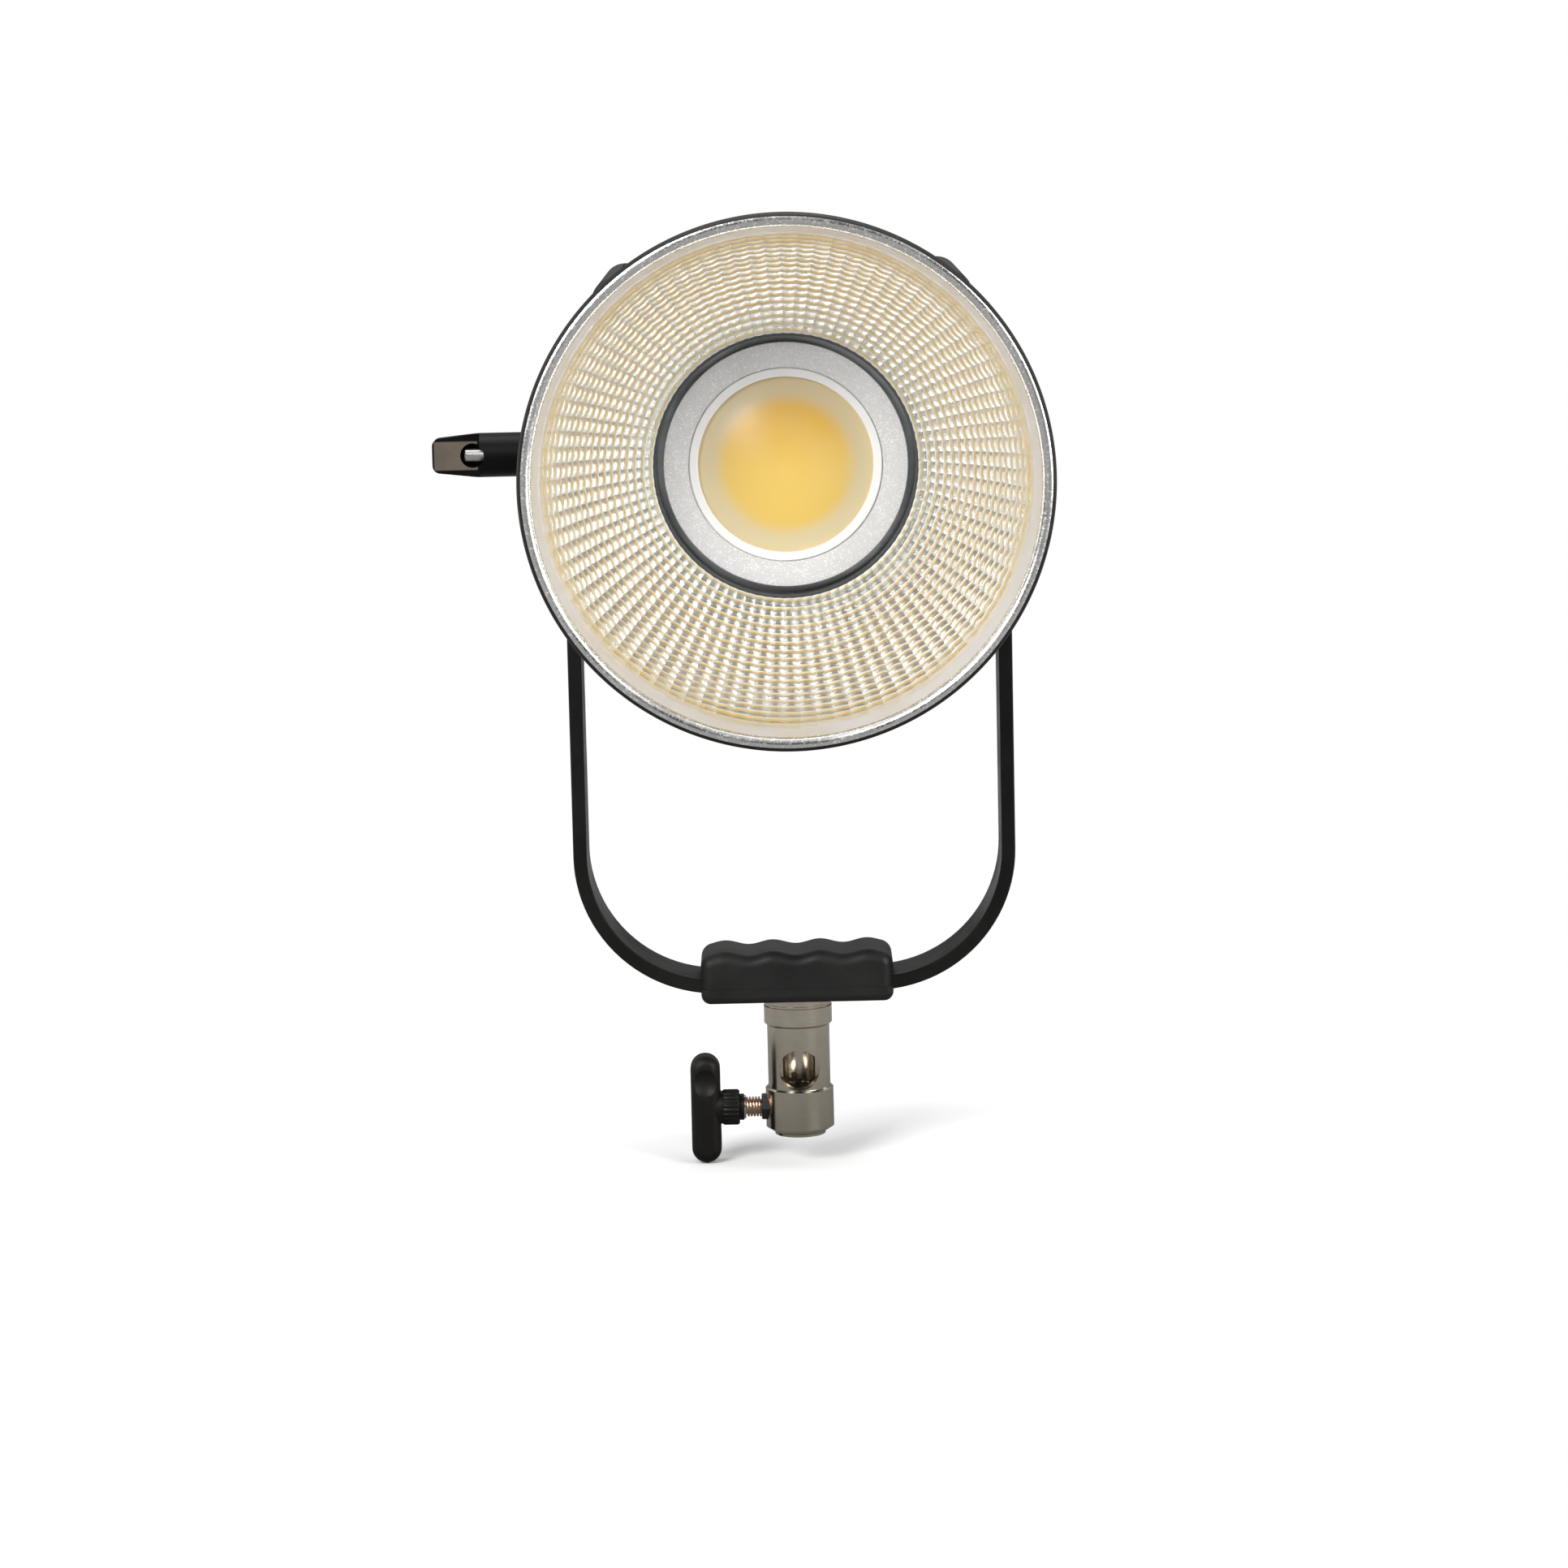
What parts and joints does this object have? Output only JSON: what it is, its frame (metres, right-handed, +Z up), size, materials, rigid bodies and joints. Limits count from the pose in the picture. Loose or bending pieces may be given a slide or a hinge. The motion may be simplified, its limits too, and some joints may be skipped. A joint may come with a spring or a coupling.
{
  "type": "led spotlight head",
  "caption": "Studio LED spotlight head with an open dimpled reflector, tilting in a U yoke with a hand grip and a clamped stud receiver.",
  "frame": {"origin": "centre of the stand receiver's mouth, where the stand's stud goes in", "axes": "+Z up along the receiver's bore, light faces -Y, +X to the right seen from the front"},
  "size_m": [0.3151, 0.3219, 0.5051],
  "materials": {
    "yoke_paint": "satin black paint",
    "grip_rubber": "matte",
    "nickel": "turned and brushed nickel",
    "steel": "bright steel",
    "black_steel": "black oxide",
    "boss_black": "matte",
    "spring_copper": "coppered steel wire",
    "handle_plastic": "fine textured",
    "bush_plastic": "smooth",
    "friction_fibre": "pressed fibre",
    "lever_paint": "satin black paint",
    "case_paint": "fine textured black paint",
    "rail_alu": "black anodised",
    "grille_black": "matte black paint",
    "throat_alu": "turned satin grey",
    "disc_silver": "bead blasted",
    "white_plastic": "satin white",
    "dome_glass": "clear domed glass",
    "ceramic_board": "white ceramic",
    "phosphor": "yellow phosphor",
    "copper": "bare copper",
    "fin_alu": "bare fins",
    "fan_black": "matte",
    "board_green": "lacquered board",
    "display_glass": "glossy dark",
    "control_rubber": "soft matte",
    "switch_plastic": "gloss black",
    "socket_metal": "black chrome",
    "reflector_alu": "hammered bright inside"
  },
  "bodies": {
    "yoke": {"yoke_strap": "yoke_paint", "grip_upper": "grip_rubber", "grip_lower": "grip_rubber", "grip_screws": "black_steel", "receiver": "nickel", "receiver_bolt": "steel", "clamp_boss": "boss_black", "clamp_spring": "spring_copper", "pivot_bushes": "bush_plastic", "friction_discs": "friction_fibre"},
    "clamp_slide": {"clamp_washer": "steel"},
    "clamp_turner": {"clamp_handle": "handle_plastic", "clamp_screw": "steel"},
    "lever_slide": {"lever_washer": "steel"},
    "lever_turner": {"tilt_lever": "lever_paint", "tilt_stud": "steel"},
    "head": {"pivot_bosses": "case_paint", "pivot_boss_screws": "black_steel", "pivot_bolt": "black_steel", "side_panel_left": "case_paint", "side_panel_right": "case_paint", "top_cover": "case_paint", "bottom_cover": "case_paint", "corner_rails": "rail_alu", "front_frame": "case_paint", "rear_panel": "case_paint", "rear_grille": "grille_black", "case_screws": "black_steel", "mount_throat": "throat_alu", "latch_body": "steel", "latch_spring": "steel", "front_disc": "disc_silver", "dome_retainer": "white_plastic", "glass_dome": "dome_glass", "cob_board": "ceramic_board", "cob_emitter": "phosphor", "heat_spreader": "copper", "heat_pipes": "copper", "fin_stack": "fin_alu", "chassis_plate": "fin_alu", "side_brackets": "fin_alu", "fan_frame": "fan_black", "fan_rods": "steel", "driver_board": "board_green", "control_board": "board_green", "display_window": "display_glass", "switch_frame": "switch_plastic", "power_inlet": "socket_metal", "data_sockets": "socket_metal", "reflector": "reflector_alu", "reflector_ring": "reflector_alu", "reflector_rivets": "steel"},
    "fan": {"fan_rotor": "fan_black"},
    "dimmer": {"dimmer_knob": "control_rubber"},
    "effect": {"effect_knob": "control_rubber"},
    "key_left": {"button_left": "control_rubber"},
    "key_middle": {"button_middle": "control_rubber"},
    "key_right": {"button_right": "control_rubber"},
    "rocker": {"power_switch": "switch_plastic"},
    "latch": {"latch_plunger": "steel"}
  },
  "joints": [
    {"name": "head_tilt", "type": "hinge", "parent": "yoke", "child": "head", "pos_m": [0, 0, 0.3637], "axis": [1, 0, 0], "range_deg": [-90, 55]},
    {"name": "clamp_travel", "type": "slide", "parent": "yoke", "child": "clamp_slide", "axis": [1, 0, 0], "range_m": [-0.003, 0.0015], "deforming": ["clamp_spring"]},
    {"name": "clamp_turn", "type": "hinge", "parent": "clamp_slide", "child": "clamp_turner", "pos_m": [0, 0, 0.0145], "axis": [1, 0, 0], "range_deg": [-722, 361]},
    {"name": "lever_travel", "type": "slide", "parent": "yoke", "child": "lever_slide", "axis": [1, 0, 0], "range_m": [-0.0015, 0]},
    {"name": "lever_turn", "type": "hinge", "parent": "lever_slide", "child": "lever_turner", "pos_m": [0, 0, 0.3637], "axis": [1, 0, 0], "range_deg": [-361, 0.5]},
    {"name": "fan_spin", "type": "hinge", "parent": "head", "child": "fan", "pos_m": [0, 0.0455, 0.3592], "axis": [0, 1, 0], "continuous": true},
    {"name": "dimmer_turn", "type": "hinge", "parent": "head", "child": "dimmer", "pos_m": [-0.058, 0.148, 0.3332], "axis": [0, 1, 0], "continuous": true},
    {"name": "effect_turn", "type": "hinge", "parent": "head", "child": "effect", "pos_m": [0.058, 0.148, 0.3332], "axis": [0, 1, 0], "continuous": true},
    {"name": "button_left_press", "type": "slide", "parent": "head", "child": "key_left", "axis": [0, -1, 0], "range_m": [0, 0.0012], "stiffness_N_per_m": 900, "springref_m": -0.0004},
    {"name": "button_middle_press", "type": "slide", "parent": "head", "child": "key_middle", "axis": [0, -1, 0], "range_m": [0, 0.0012], "stiffness_N_per_m": 900, "springref_m": -0.0004},
    {"name": "button_right_press", "type": "slide", "parent": "head", "child": "key_right", "axis": [0, -1, 0], "range_m": [0, 0.0012], "stiffness_N_per_m": 900, "springref_m": -0.0004},
    {"name": "power_rock", "type": "hinge", "parent": "head", "child": "rocker", "pos_m": [-0.056, 0.1365, 0.2892], "axis": [1, 0, 0], "range_deg": [0, 16]},
    {"name": "latch_pull", "type": "slide", "parent": "head", "child": "latch", "axis": [1, 0, 0], "range_m": [0, 0.0035], "stiffness_N_per_m": 700, "springref_m": -0.003, "deforming": ["latch_spring"]}
  ],
  "couplings": [
    {"joint": "clamp_turn", "follows": "clamp_travel", "rad_per_m": 4188.8},
    {"joint": "lever_turn", "follows": "lever_travel", "rad_per_m": 4188.8}
  ]
}
